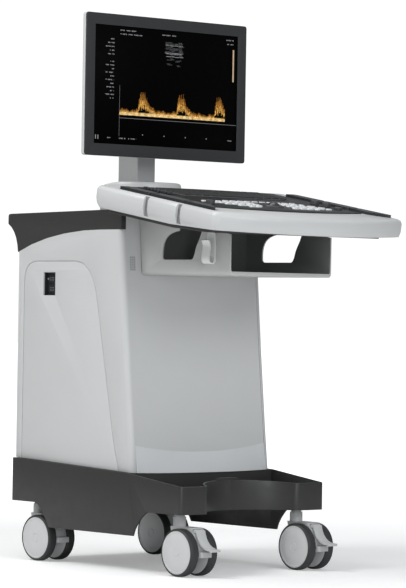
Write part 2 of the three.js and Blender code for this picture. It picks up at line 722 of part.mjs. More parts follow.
function holderPlan(grow) {
  const { inner, outer, wells, wall, corner, nose, tip } = holder;
  const v0 = Math.min(...wells.flat()) - wall - 1 - grow;
  const v1 = Math.max(...wells.flat()) + wall + 1 + grow;
  return podPlan([inner - wall - grow, outer + grow], [v0, v1], corner, nose, tip + 2 * grow);
}

function consoleShell() {
  const { height, edge, draft, wall, hollowX, hollowRear } = shell;
  const slab = solid(loft([
    consoleRing(draft, -height), consoleRing(3, -height + 9), consoleRing(0, -26),
    consoleRing(0, -edge), consoleRing(3, -3), consoleRing(edge, 0),
  ]));
  const hollowFloor = roundedRect([-hollowX, hollowX], [shell.hollowFront, hollowRear], 12);
  const hollow = plate('z', hollowFloor, -height - OVERSHOOT, -wall - panel.sink, 3);
  const panelSeat = plate('z', panelShape(GAP), -panel.sink - GAP, 4, 12);
  const { footX, footY } = post;
  const passage = onDeck(new THREE.BoxGeometry(2 * footX + 1, 2 * footY + 1, 60)
    .translate(0, post.y, plinth.topZ));
  const pockets = [holderPlan(GAP), mirrorShape(holderPlan(GAP))].map((shape) =>
    plate('z', shape, -holder.depth - GAP, 5, 4));
  const lips = channelV.flatMap((v) => [-1, 1].map((side) => {
    const outer = side * (shell.frontHalf + 8);
    const inner = side * (shell.rearHalf - channel.depth);
    const range = [Math.min(outer, inner), Math.max(outer, inner)];
    return block(range, [v - channel.width / 2, v + channel.width / 2], [-60, 5]);
  }));
  const underside = outline([
    [bend.y, bend.z], [-460, lowerEdge(-460)], [-460, 640], [bend.y, 640],
  ]);
  const bow = onDeck(new THREE.ExtrudeGeometry(underside, { depth: 700, bevelEnabled: false })
    .translate(0, 0, -350).applyMatrix4(PLANES.x));
  const wells = [
    bar('z', trackball.hole, [-30, 5], [0, trackball.v], 28),
    bar('z', freezeKey.radius + 0.5, [-30, 5], [freezeKey.x, freezeKey.v], 20),
  ];
  return cut(join(slab, plinthSolid()), hollow, panelSeat, passage, ...pockets, ...lips, bow, ...wells);
}

function mirrorShape(shape) {
  return new THREE.Shape(shape.getPoints(4).map((p) => new THREE.Vector2(-p.x, p.y)).reverse());
}

// Height of the shell's lower edge: it follows the slope, then flattens towards the front.
const bend = { y: -214, z: 728.8, frontSlope: 0.098 };
const tray = { halfWidth: 244, v: [-216, 122], corner: 18, drop: 7.5 };

function lowerEdge(y) {
  return bend.z + (y - bend.y) * (y > bend.y ? Math.tan(deck.slope) : bend.frontSlope);
}

// A sheet across the console that follows its lower edge, between two offsets from that edge.
function sheetAlongEdge(above, below) {
  const corners = [0, bend.y, -400];
  const top = corners.map((y) => [y, lowerEdge(y) + above]);
  const low = corners.map((y) => [y, lowerEdge(y) - below]).reverse();
  const side = new THREE.ExtrudeGeometry(outline([...top, ...low]), { depth: 700, bevelEnabled: false });
  return onDeck(side.translate(0, 0, -350).applyMatrix4(PLANES.x));
}

// The dark tray under the shell, with a plug on top that closes the shell's hollow.
function consoleBottom() {
  const { halfWidth, v, corner, drop } = tray;
  const plan = roundedRect([-halfWidth, halfWidth], v, corner);
  const plugV = [shell.hollowFront + GAP, shell.hollowRear - GAP];
  const plugPlan = roundedRect([-hollowPlug, hollowPlug], plugV, 12);
  const sheet = sheetAlongEdge(-GAP, drop).intersect(plate('z', plan, -90, 0, 4));
  const plug = sheetAlongEdge(3, 1).intersect(plate('z', plugPlan, -90, 0, 4));
  return join(sheet, plug);
}

// The black control panel's plan, with its front and rear edges bowed.
function panelShape(grow) {
  const { halfWidth, rearV, rearSideV, sideV, apexV } = panel;
  const half = halfWidth + grow;
  const shape = new THREE.Shape();
  shape.moveTo(-half, rearSideV + grow);
  shape.lineTo(-half, sideV - grow);
  shape.quadraticCurveTo(0, 2 * (apexV - grow) - (sideV - grow), half, sideV - grow);
  shape.lineTo(half, rearSideV + grow);
  shape.quadraticCurveTo(0, 2 * (rearV + grow) - (rearSideV + grow), -half, rearSideV + grow);
  return shape;
}

const letterKeys = { rows: 5, columns: 14, halfWidth: 150, v: [-15, 91], rise: 3.2, margin: 3 };
const trackball = { v: -130, radius: 16, hole: 16.8, sink: 6 };
const freezeKey = { x: 182, v: -134, radius: 9 };
const knobs = { x: [-186, 182, 182], v: [-140, -96, -60], radius: 10.5, rise: 9 };
const sliders = { x: -180, first: -2, pitch: 11, count: 8, slot: 42 };

function controlPanel() {
  const sheet = plate('z', panelShape(0), -panel.sink, panel.proud, 12);
  const ballHole = bar('z', trackball.hole, [-5, 5], [0, trackball.v], 28);
  const freezeHole = bar('z', freezeKey.radius + 0.5, [-5, 5], [freezeKey.x, freezeKey.v], 20);
  const slots = Array.from({ length: sliders.count }, (_, i) => {
    const v = sliders.first + i * sliders.pitch;
    return block([sliders.x - sliders.slot / 2, sliders.x + sliders.slot / 2], [v - 1.5, v + 1.5], [0.2, 5]);
  });
  return cut(sheet, ballHole, freezeHole, ...slots);
}

// A moulded rubber mat whose keys stand up from one skin.
function letterKeypad() {
  const { rows, columns, halfWidth, v, rise, margin } = letterKeys;
  const low = panel.proud + GAP;
  const skin = plate('z', roundedRect([-halfWidth, halfWidth], v, 6), low, low + 1.2, 3);
  const pitchX = (2 * halfWidth - 2 * margin) / columns;
  const pitchV = (v[1] - v[0] - 2 * margin) / rows;
  const keys = [];
  for (let row = 0; row < rows; row += 1) {
    for (let column = 0; column < columns; column += 1) {
      const x = -halfWidth + margin + column * pitchX;
      const y = v[0] + margin + row * pitchV;
      keys.push(block([x + 1.2, x + pitchX - 1.2], [y + 1.2, y + pitchV - 1.2], [low + 0.6, low + rise]));
    }
  }
  return join(skin, ...keys);
}

// Rows of function keys on the left and right of the trackball.
// Each has its v, its inner end and its outer end.
const functionRows = {
  left: [[-94, 36, 172], [-112, 36, 158], [-130, 38, 135], [-148, 46, 112], [-165, 70, 100]],
  right: [[-96, 38, 116], [-114, 36, 128], [-132, 36, 140], [-150, 34, 146], [-167, 22, 100]],
};
const functionKey = { pitch: 22, halfDepth: 5.5, margin: 4.5, gap: 2.6, skin: 1.2, rise: 2.8 };

// A white rubber mat: a bar of small keys behind the trackball and a wing of keys on each side of it.
function functionKeypad() {
  const { pitch, halfDepth, margin, gap, skin, rise } = functionKey;
  const low = panel.proud + GAP;
  const skins = [block([-100, 112], [-86, -68], [low, low + skin])];
  const keys = [];
  const addRow = (from, to, v) => {
    const count = Math.round((to - from) / pitch);
    const step = (to - from) / count;
    const reach = halfDepth + margin;
    skins.push(block([from - 1, to + 1], [v - reach, v + reach], [low, low + skin]));
    for (let i = 0; i < count; i += 1) {
      const x = [from + i * step + gap, from + (i + 1) * step - gap];
      keys.push(block(x, [v - halfDepth, v + halfDepth], [low + skin / 2, low + rise]));
    }
  };
  functionRows.left.forEach(([v, inner, outer]) => addRow(-outer, -inner, v));
  functionRows.right.forEach(([v, inner, outer]) => addRow(inner, outer, v));
  return join(...skins, ...keys);
}

function probeHolder() {
  const { inner, outer, wells, depth, rim, wall, corner, nose, tip } = holder;
  const body = plate('z', holderPlan(0), -depth, -0.5, 4);
  const noses = [corner, corner, nose];
  const lips = wells.map(([v0, v1], i) => {
    const plan = podPlan([inner - wall, outer], [v0 - wall, v1 + wall], corner, noses[i], tip);
    return plate('z', plan, -3, rim, 4);
  });
  const cups = wells.map(([v0, v1], i) => {
    const plan = podPlan([inner, outer - wall], [v0, v1], corner - 2, noses[i] - 2, holder.cupTip);
    return plate('z', plan, -depth + wall, rim + OVERSHOOT, 4);
  });
  return cut(join(body, ...lips), ...cups);
}

function knobSolid() {
  const { radius, rise } = knobs;
  const profile = [[0, 0], [radius, 0], [radius, rise - 2], [radius - 2, rise], [0, rise]]
    .map(([a, b]) => new THREE.Vector2(a, b));
  return solid(new THREE.LatheGeometry(profile, 20).rotateX(Math.PI / 2));
}

function buildControls() {
  place('control_panel', controlPanel(), blackPlastic, sloped);
  place('letter_keypad', letterKeypad(), keyBlack, sloped);
  place('function_keypad', functionKeypad(), keyWhite, sloped);
  place('left_probe_holder', mirrored(probeHolder()), blackPlastic, sloped);
  place('right_probe_holder', probeHolder(), blackPlastic, sloped);
  const ball = place('trackball', new THREE.SphereGeometry(trackball.radius, 16, 8), ballResin, sloped);
  ball.position.set(0, trackball.v, panel.proud - trackball.sink);
  const key = place('freeze_key', bar('z', freezeKey.radius, [-0.2, 7], [0, 0], 20), keyWhite, sloped);
  key.position.set(freezeKey.x, freezeKey.v, 0);
  const names = ['gain_knob', 'depth_knob', 'zoom_knob'];
  names.forEach((name, i) => {
    const knob = place(name, knobSolid(), knobGrey, sloped);
    knob.position.set(knobs.x[i], knobs.v[i], panel.proud + GAP);
  });
  for (let i = 0; i < sliders.count; i += 1) {
    const button = block([-5, 5], [-3.6, 3.6], [1.9 + GAP, 7.5]);
    const tongue = block([-3, 3], [-1.1, 1.1], [0.6, 4]);
    const slider = place(`tgc_slider_${i + 1}`, join(button, tongue), knobGrey, sloped);
    slider.position.set(sliders.x, sliders.first + i * sliders.pitch, GAP / 2);
  }
}

// ---------------------------------------------------------------- storage box and hook
// The opening in each side of the storage box, open upwards between a round rear edge and
// an S-shaped front one.
function sideWindow() {
  const shape = new THREE.Shape();
  shape.moveTo(-73, 657.5);
  shape.quadraticCurveTo(-65, 657.5, -65, 665);
  shape.bezierCurveTo(-63, 700, -78, 714, -118, 718);
  shape.lineTo(-118, 800);
  shape.lineTo(-192, 800);
  shape.lineTo(-192, 724);
  shape.bezierCurveTo(-189, 704, -175, 692, -170, 676);
  shape.quadraticCurveTo(-165, 657.5, -157, 657.5);
  return shape;
}

function storageBox() {
  const { halfWidth: w, wall, frontY, bottomZ, floor, edge } = box;
  const outer = plate('y', roundedRect([-w, w], [bottomZ, 800], edge), frontY, 40, 4);
  const innerShape = roundedRect([-w + wall, w - wall], [bottomZ + floor, 801], edge - 4);
  const inner = plate('y', innerShape, frontY - 5, -14, 4);
  const windows = plate('x', sideWindow(), -w - 5, w + 5, 10);
  const lid = new THREE.BoxGeometry(700, 900, 200).translate(0, 0, -shell.height - tray.drop - 1 + 100);
  lid.applyMatrix4(sloped.matrix);
  const cabinetSide = plate('x', outline([
    ...[600, 660, 720, 790].map((z) => [frontFace(z) - GAP, z]), [120, 790], [120, 600],
  ]), -220, 220);
  const capSide = block([-200, 200], [cap.frontY - GAP, 60], [750, 800]);
  return cut(outer, inner, windows, solid(lid), cabinetSide, capSide);
}

// A narrow back plate on the box's side, with a tongue that curls out from its foot and flares at its tip.
function cableHook() {
  const x = -(box.halfWidth + GAP);
  const { y, z, thickness, reach } = hook;
  const backPlate = plate('x', roundedRect(y, z, 8), x - thickness, x, 4);
  const centreLine = new THREE.SplineCurve([
    [1.6, 12], [3, 5], [reach / 2, 1.6], [reach - 2, 5],
    [reach, 14], [reach - 3, 32], [reach - 2.5, 42], [reach + 1.5, 50],
  ].map(([out, rise]) => new THREE.Vector2(x - out, z[0] + rise)));
  const tongue = plate('y', strip(centreLine, thickness, 20), y[0] + 1, y[1] - 1);
  const hole = block([x - thickness - 1, x + 1], [y[1] - 9, y[1] - 2], [z[0] + 15, z[0] + 20]);
  return cut(join(backPlate, tongue), hole);
}

// ---------------------------------------------------------------- monitor
function monitorPole() {
  const { halfX, y, halfY, topZ, corner, socket, footX, footY, footZ } = post;
  const plan = roundedRect([-halfX, halfX], [y - halfY, y + halfY], corner);
  const column = plate('z', plan, plinth.topZ + GAP, topZ, 4);
  const foot = block([-footX, footX], [y - footY, y + footY], [footZ, plinth.topZ + 2]);
  const spigot = bar('z', socket - 2, [topZ - 1, topZ + 24], [0, y], 24);
  return join(column, foot, spigot);
}

function swivelHead() {
  const { halfX, y, halfY, topZ, corner, socket } = post;
  const shape = roundedRect([-halfX, halfX], [y - halfY, y + halfY], corner);
  const head = plate('z', shape, topZ + GAP, 1062, 4);
  const pocket = bar('z', socket, [topZ, topZ + 26], [0, y], 24);
  const { pivotY, pivotZ } = screen;
  const arm = block([-12, 12], [pivotY, y - halfY + 6], [pivotZ - 7, pivotZ + 7]);
  const knuckle = bar('x', 7, [-12, 12], [pivotY, pivotZ], 20);
  const pin = bar('x', 3, [-22, 22], [pivotY, pivotZ], 12);
  return join(cut(head, pocket), arm, knuckle, pin);
}

// Ring in (X, Z) at a depth Y, anticlockwise seen from behind the monitor.
function screenRing(insetX, insetLow, insetHigh, radius, y) {
  const { halfWidth, bottomZ, topZ } = screen;
  const range = [bottomZ + insetLow, topZ - insetHigh];
  const shape = roundedRect([-halfWidth + insetX, halfWidth - insetX], range, radius);
  return ringOf(shape, 3).reverse().map(([x, z]) => [x, y, z]);
}

function monitorBack() {
  const { frontY, bezel, rimDepth, backY, pivotY, pivotZ } = screen;
  const start = frontY + bezel + GAP;
  const seen = ([x, , z]) => new THREE.Vector2(-x, z);
  const outer = solid(loft([
    screenRing(0, 0, 0, 6, start),
    screenRing(0, 0, 0, 6, frontY + rimDepth),
    screenRing(14, 14, 14, 14, frontY + 22),
    screenRing(78, 66, 58, 20, backY - 3),
    screenRing(82, 70, 62, 18, backY),
  ], seen));
  const inner = solid(loft([
    screenRing(3, 3, 3, 4, start - 1),
    screenRing(3, 3, 3, 4, frontY + rimDepth),
    screenRing(18, 18, 18, 12, frontY + 20),
    screenRing(84, 72, 64, 16, backY - 6),
  ], seen));
  const lugs = [-1, 1].map((side) => {
    const range = side < 0 ? [-22, -13] : [13, 22];
    const ear = block(range, [backY - 4, pivotY], [pivotZ - 7, pivotZ + 7]);
    const knuckle = bar('x', 7, range, [pivotY, pivotZ], 20);
    const bore = bar('x', 3.4, [-30, 30], [pivotY, pivotZ], 12);
    return cut(join(ear, knuckle), bore);
  });
  return join(cut(outer, inner), ...lugs);
}

function monitorBezel() {
  const { frontY, halfWidth, bottomZ, topZ, bezel, activeHalf, activeBottomZ, activeTopZ } = screen;
  const frontShape = roundedRect([-halfWidth, halfWidth], [bottomZ, topZ], 6);
  const frontPlate = plate('y', frontShape, frontY, frontY + bezel, 3);
  const collarShape = roundedRect([-halfWidth + 6, halfWidth - 6], [bottomZ + 6, topZ - 6], 4);
  const collar = plate('y', collarShape, frontY + 1, frontY + 11, 3);
  const window = block([-activeHalf, activeHalf], [frontY - 1, frontY + 20], [activeBottomZ, activeTopZ]);
  const rebate = block(
    [-activeHalf - 6, activeHalf + 6],
    [frontY + bezel, frontY + 20],
    [activeBottomZ - 6, activeTopZ + 6],
  );
  return cut(join(frontPlate, collar), window, rebate);
}

function lcdPanel() {
  const { frontY, bezel, activeHalf, activeBottomZ, activeTopZ } = screen;
  const glass = frontY + bezel + GAP;
  const panelAt = (grow, y) =>
    block([-activeHalf - grow, activeHalf + grow], y, [activeBottomZ - grow, activeTopZ + grow]);
  return join(panelAt(5.5, [glass, glass + 6]), panelAt(-GAP, [frontY + 1, glass + 1]));
}

// ---------------------------------------------------------------- assembly
place('base_skirt', baseSkirt(), darkGrey);
place('base_frame', baseFrame(), steel);
for (const [prefix, side, y] of [
  ['caster_fl', -1, caster.frontY], ['caster_fr', 1, caster.frontY],
  ['caster_rl', -1, caster.rearY], ['caster_rr', 1, caster.rearY],
]) {
  buildCaster(prefix, side * frame.railX, y, y === caster.frontY);
}

place('front_panel', frontPanel(), lightGrey);
place('left_side_panel', sidePanel(-1), lightGrey);
place('right_side_panel', sidePanel(1), lightGrey);
place('left_service_cover', serviceCover(-1), lightGrey);
place('right_service_cover', serviceCover(1), lightGrey);
place('rear_cover', rearCover(), lightGrey);
place('top_cap', topCap(), darkGrey);
place('port_block', portBlock(), blackPlastic);

place('rack_frame', rackFrame(), sheetMetal);
place('electronics_cage', electronicsCage(), sheetMetal);
place('power_supply', powerSupply(), sheetMetal);
place('fan_housing', fanHousing(), blackPlastic);
place('fan_rotor', fanRotor(), blackPlastic);

place('console_shell', consoleShell(), lightGrey, sloped);
place('console_bottom', consoleBottom(), darkGrey, sloped);
buildControls();

place('storage_box', storageBox(), lightGrey);
place('cable_hook', cableHook(), hookWhite);

place('monitor_pole', monitorPole(), lightGrey);
place('swivel_head', swivelHead(), lightGrey);
place('monitor_back', monitorBack(), lightGrey);
place('monitor_bezel', monitorBezel(), bezelGrey);
place('lcd_panel', lcdPanel(), glassBlack);

export default machine;
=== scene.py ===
"""Looks of a trolley-mounted ultrasound machine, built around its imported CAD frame.

Lengths are in metres. +Z is up, -Y is the operator's side and X = 0 is the plane of symmetry.
"""
import json
import math

import bmesh
import bpy
from mathutils import Matrix, Vector

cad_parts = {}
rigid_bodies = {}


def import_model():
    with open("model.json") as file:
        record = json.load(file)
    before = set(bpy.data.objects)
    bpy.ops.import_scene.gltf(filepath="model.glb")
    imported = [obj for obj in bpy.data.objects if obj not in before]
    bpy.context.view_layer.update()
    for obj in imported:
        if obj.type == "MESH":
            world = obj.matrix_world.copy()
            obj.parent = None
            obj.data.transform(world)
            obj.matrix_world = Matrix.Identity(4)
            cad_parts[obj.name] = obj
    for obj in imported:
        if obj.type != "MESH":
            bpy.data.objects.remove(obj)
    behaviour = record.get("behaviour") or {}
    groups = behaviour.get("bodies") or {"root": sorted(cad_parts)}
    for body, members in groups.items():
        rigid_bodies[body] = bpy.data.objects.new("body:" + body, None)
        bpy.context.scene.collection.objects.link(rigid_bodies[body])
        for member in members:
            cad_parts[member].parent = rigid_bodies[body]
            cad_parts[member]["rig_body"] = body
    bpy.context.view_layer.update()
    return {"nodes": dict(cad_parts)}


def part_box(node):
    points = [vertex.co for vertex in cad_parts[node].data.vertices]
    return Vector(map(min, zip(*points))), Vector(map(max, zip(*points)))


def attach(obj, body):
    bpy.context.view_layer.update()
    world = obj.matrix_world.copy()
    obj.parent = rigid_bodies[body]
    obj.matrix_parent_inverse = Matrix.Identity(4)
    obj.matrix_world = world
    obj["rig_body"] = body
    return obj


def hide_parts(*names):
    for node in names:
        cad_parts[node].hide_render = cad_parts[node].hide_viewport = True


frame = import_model()
nodes = frame["nodes"]

MM = 0.001
CENTRING = 19.5 * MM  # the CAD's datum plane stands this far behind the origin
SLOPE = math.radians(9.2)
DECK = Matrix.Translation((0, -0.125 + CENTRING, 0.791)) @ Matrix.Rotation(SLOPE, 4, "X")
IDENTITY = Matrix.Identity(4)


# ------------------------------------------------------------------ materials
def shader(name):
    """A new material with its default node tree, and the Principled shader from it."""
    material = bpy.data.materials.new(name)
    material.use_nodes = True
    tree = material.node_tree
    return material, tree, tree.nodes["Principled BSDF"]


def add(tree, kind, **settings):
    node = tree.nodes.new(kind)
    for key, value in settings.items():
        if key in node.inputs:
            node.inputs[key].default_value = value
        else:
            setattr(node, key, value)
    return node


def shade(color, factor):
    return tuple(min(1.0, c * factor) for c in color) + (1.0,)


def noise_of(tree, scale, detail=3.0):
    """Noise that is fixed to the object's own space."""
    place = tree.nodes.get("place") or add(tree, "ShaderNodeTexCoord", name="place")
    noise = add(tree, "ShaderNodeTexNoise", Scale=scale, Detail=detail)
    tree.links.new(place.outputs["Object"], noise.inputs["Vector"])
    return noise


def ramp_between(tree, source, low, high, start=0.35, end=0.65):
    ramp = add(tree, "ShaderNodeValToRGB")
    ramp.color_ramp.elements[0].position = start
    ramp.color_ramp.elements[0].color = low
    ramp.color_ramp.elements[1].position = end
    ramp.color_ramp.elements[1].color = high
    tree.links.new(source, ramp.inputs["Fac"])
    return ramp.outputs["Color"]


def moulded(name, color, rough, grain=1400.0, depth=0.04, spread=0.03, coat=0.0):
    """Moulded or painted surface: slight cloudiness, uneven gloss and a fine grain."""
    material, tree, principled = shader(name)
    cloud = noise_of(tree, 6.0)
    wear = noise_of(tree, 45.0, 5.0)
    fine = noise_of(tree, grain, 2.0)
    tint = ramp_between(tree, cloud.outputs["Fac"], shade(color, 1 - spread), shade(color, 1 + spread))
    tree.links.new(tint, principled.inputs["Base Color"])
    smoother, rougher = shade((1, 1, 1), rough * 0.88), shade((1, 1, 1), rough * 1.1)
    gloss = ramp_between(tree, wear.outputs["Fac"], smoother, rougher)
    tree.links.new(gloss, principled.inputs["Roughness"])
    bump = add(tree, "ShaderNodeBump", Strength=depth * 2, Distance=0.0004)
    tree.links.new(fine.outputs["Fac"], bump.inputs["Height"])
    tree.links.new(bump.outputs["Normal"], principled.inputs["Normal"])
    principled.inputs["Coat Weight"].default_value = coat
    principled.inputs["Coat Roughness"].default_value = 0.2
    return material


def brushed(name, color, rough, stretch):
    """Metal with fine lines along one axis."""
    material, tree, principled = shader(name)
    place = add(tree, "ShaderNodeTexCoord")
    scale = add(tree, "ShaderNodeMapping")
    scale.inputs["Scale"].default_value = stretch
    lines = add(tree, "ShaderNodeTexNoise", Scale=220.0, Detail=4.0)
    tree.links.new(place.outputs["Object"], scale.inputs["Vector"])
    tree.links.new(scale.outputs["Vector"], lines.inputs["Vector"])
    tint = ramp_between(tree, lines.outputs["Fac"], shade(color, 0.86), shade(color, 1.1))
    tree.links.new(tint, principled.inputs["Base Color"])
    bump = add(tree, "ShaderNodeBump", Strength=0.12, Distance=0.0003)
    tree.links.new(lines.outputs["Fac"], bump.inputs["Height"])
    tree.links.new(bump.outputs["Normal"], principled.inputs["Normal"])
    principled.inputs["Metallic"].default_value = 0.9
    principled.inputs["Roughness"].default_value = rough
    return material


def glowing(name, color, strength, speckle=0.0):
    """A lit part of the screen picture, with the speckle of a scan."""
    material, tree, principled = shader(name)
    grain = noise_of(tree, 900.0, 2.0)
    low = shade(color, 1 - speckle)
    tint = ramp_between(tree, grain.outputs["Fac"], low, shade(color, 1.0), 0.4, 0.6)
    principled.inputs["Base Color"].default_value = (0.0, 0.0, 0.0, 1.0)
    tree.links.new(tint, principled.inputs["Emission Color"])
    principled.inputs["Emission Strength"].default_value = strength
    principled.inputs["Roughness"].default_value = 0.5
    return material


LIGHT = moulded("light_moulding", (0.59, 0.595, 0.595), 0.36, 1500, 0.02, 0.012)
PANEL = moulded("cabinet_paint", (0.585, 0.59, 0.59), 0.38, 900, 0.02, 0.012)
# Darker grey for the monitor post: its own darker paint, deepened as painted shade from the monitor above
# it.
POST_GREY_AND_SHADE = moulded("post_paint_and_shade", (0.33, 0.334, 0.334), 0.38, 900, 0.02, 0.012)
# A lighter copy of the cabinet paint for the kick panel: a painted highlight where its ramp faces up into
# the top light.
KICK_PAINTED_HIGHLIGHT = moulded("kick_painted_highlight", (0.66, 0.675, 0.68), 0.38, 900, 0.02, 0.012)
# A darker grey for the storage box's inner faces.
INSIDE = moulded("box_inner_dark", (0.2, 0.203, 0.2), 0.55, 1100, 0.05, 0.05)
DARK = moulded("dark_moulding", (0.027, 0.027, 0.025), 0.42, 1100, 0.03, 0.03)
BLACK = moulded("black_moulding", (0.014, 0.015, 0.016), 0.42, 1600, 0.05, 0.1)
KEYBLACK = moulded("key_rubber", (0.016, 0.017, 0.018), 0.6, 2200, 0.05, 0.1)
KEYGREY = moulded("key_surround", (0.12, 0.125, 0.13), 0.6, 2200, 0.05, 0.06)
SILVER = moulded("silver_key", (0.72, 0.73, 0.74), 0.35, 2200, 0.02, 0.02)
BOXGREY = moulded("box_moulding", (0.52, 0.52, 0.51), 0.4, 1500, 0.02, 0.012)
WHITE = moulded("hook_moulding", (0.76, 0.77, 0.75), 0.38, 1500, 0.02, 0.01)
CASTER = moulded("caster_nylon", (0.54, 0.545, 0.545), 0.42, 1300, 0.03, 0.015)
HUB = moulded("caster_hub", (0.62, 0.625, 0.625), 0.42, 1300, 0.02, 0.02)
TYRE = moulded("tyre_rubber", (0.03, 0.03, 0.031), 0.55, 1800, 0.06, 0.08)
# A darker grey for the cable grooves: painted shade in the slots.
GROOVE_PAINTED_SHADE = moulded("groove_painted_shade", (0.21, 0.215, 0.22), 0.6, 1800, 0.06, 0.04)
BEZEL = moulded("bezel_paint", (0.03, 0.031, 0.032), 0.4, 1600, 0.02, 0.04)
SCREEN = moulded("screen_glass", (0.0012, 0.0012, 0.0013), 0.5, 60, 0.0, 0.1)
SCREEN.node_tree.nodes["Principled BSDF"].inputs["Specular IOR Level"].default_value = 0.02
BALL = moulded("ball_resin", (0.035, 0.036, 0.04), 0.2, 300, 0.01, 0.12, coat=0.5)
KNOBGREY = moulded("knob_plastic", (0.055, 0.057, 0.06), 0.45, 2200, 0.04, 0.06)
STEEL = brushed("turned_steel", (0.55, 0.56, 0.57), 0.32, (1.0, 12.0, 12.0))
ZINC = brushed("zinc_sheet", (0.62, 0.63, 0.64), 0.42, (1.0, 1.0, 14.0))
RAIL = moulded("rail_powder_coat", (0.14, 0.145, 0.145), 0.5, 700, 0.08, 0.04)
PIN = brushed("connector_tin", (0.30, 0.30, 0.31), 0.4, (6.0, 6.0, 6.0))


# ------------------------------------------------------------------ mesh tools
def link(name, mesh, body, materials, replaces=()):
    piece = bpy.data.objects.new(name, mesh)
    bpy.context.scene.collection.objects.link(piece)
    for material in materials:
        mesh.materials.append(material)
    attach(piece, body)
    if replaces:
        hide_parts(*replaces)
    return piece


def smooth(mesh, angle):
    mesh.polygons.foreach_set("use_smooth", [True] * len(mesh.polygons))
    mesh.set_sharp_from_angle(angle=math.radians(angle))


def baked(piece):
    """Applies the modifiers of a piece to its mesh."""
    graph = bpy.context.evaluated_depsgraph_get()
    mesh = bpy.data.meshes.new_from_object(piece.evaluated_get(graph))
    old = piece.data
    piece.modifiers.clear()
    piece.data = mesh
    bpy.data.meshes.remove(old)
    return mesh


def soften(piece, width, segments=2, angle=38, sharp=45):
    bevel = piece.modifiers.new("edge", "BEVEL")
    bevel.width = width
    bevel.segments = segments
    bevel.limit_method = "ANGLE"
    bevel.angle_limit = math.radians(angle)
    bevel.use_clamp_overlap = True
    bevel.miter_outer = "MITER_ARC"
    mesh = baked(piece)
    smooth(mesh, sharp)
    return piece


def clean(bm, merge=2e-6, flat=0.4):
    bmesh.ops.remove_doubles(bm, verts=bm.verts, dist=merge)
    bmesh.ops.dissolve_limit(bm, angle_limit=math.radians(flat), verts=bm.verts, edges=bm.edges)
    bmesh.ops.recalc_face_normals(bm, faces=bm.faces)


def refined(node, materials, width=0.8 * MM, segments=2, sharp=45, paint=None):
    """A finely edged piece that stands for a CAD node, on the node's own faces."""
    source = nodes[node]
    bm = bmesh.new()
    bm.from_mesh(source.data)
    clean(bm)
    for face in bm.faces:
        face.material_index = paint(face) if paint else 0
    mesh = bpy.data.meshes.new(node + "_look")
    bm.to_mesh(mesh)
    bm.free()
    piece = link(node + "_look", mesh, source["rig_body"], materials, [node])
    return soften(piece, width, segments, sharp=sharp)


def from_bmesh(name, bm, body, materials, replaces=(), sharp=40, place=IDENTITY):
    bmesh.ops.recalc_face_normals(bm, faces=bm.faces)
    bm.transform(place)
    mesh = bpy.data.meshes.new(name)
    bm.to_mesh(mesh)
    bm.free()
    piece = link(name, mesh, body, materials, replaces)
    smooth(mesh, sharp)
    return piece


def revolve(bm, profile, segments, materials, place=IDENTITY):
    """Turns a closed profile of (radius, height) about local Z. materials gives one index per edge."""
    rings = []
    for radius, height in profile:
        if radius < 1e-7:
            rings.append([bm.verts.new(place @ Vector((0, 0, height)))] * segments)
            continue
        ring = []
        for i in range(segments):
            angle = 2 * math.pi * i / segments
            point = Vector((radius * math.cos(angle), radius * math.sin(angle), height))
            ring.append(bm.verts.new(place @ point))
        rings.append(ring)
    for k in range(len(rings) - 1):
        for i in range(segments):
            j = (i + 1) % segments
            corners = []
            for vert in (rings[k][i], rings[k][j], rings[k + 1][j], rings[k + 1][i]):
                if vert not in corners:
                    corners.append(vert)
            if len(corners) > 2:
                face = bm.faces.new(corners)
                face.material_index = materials[k]


def rounded_loop(half_x, half_y, radius, steps=4):
    points = []
    for cx, cy, start in ((1, -1, -90), (1, 1, 0), (-1, 1, 90), (-1, -1, 180)):
        for i in range(steps + 1):
            angle = math.radians(start + 90 * i / steps)
            x = cx * (half_x - radius) + radius * math.cos(angle)
            y = cy * (half_y - radius) + radius * math.sin(angle)
            points.append((x, y))
    return points


def stack(bm, loops, index=0, place=IDENTITY):
    """A closed skin over loops of equal length, each a list of points, with flat ends."""
    rings = [[bm.verts.new(place @ Vector(p)) for p in loop] for loop in loops]
    count = len(rings[0])
    made = [bm.faces.new(list(reversed(rings[0]))), bm.faces.new(rings[-1])]
    for low, high in zip(rings, rings[1:]):
        for i in range(count):
            j = (i + 1) % count
            made.append(bm.faces.new([low[i], low[j], high[j], high[i]]))
    for face in made:
        face.material_index = index
    return made


def keycap(bm, x, v, half_x, half_v, low, high, index=0, radius=1.6 * MM, turn=0.0):
    """A key with sides that lean in and a rounded top edge."""
    crown = 0.35 * (high - low)
    steps = ((0, low), (0.25 * MM, high - crown), (0.7 * MM, high - 0.3 * crown), (1.3 * MM, high))
    loops = []
    for inset, height in steps:
        r = max(radius - inset * 0.5, 0.5 * MM)
        outline = rounded_loop(half_x - inset, half_v - inset, r, 3)
        loops.append([(px, py, height) for px, py in outline])
    stack(bm, loops, index, Matrix.Translation((x, v, 0)) @ Matrix.Rotation(turn, 4, "Z"))


# ------------------------------------------------------------------ base and casters
refined("base_skirt", [DARK], 1.6 * MM, 3, sharp=50)


def coat_node(node, material):
    """Gives a CAD node that keeps its own mesh its material."""
    slots = nodes[node].data.materials
    slots.clear()
    slots.append(material)


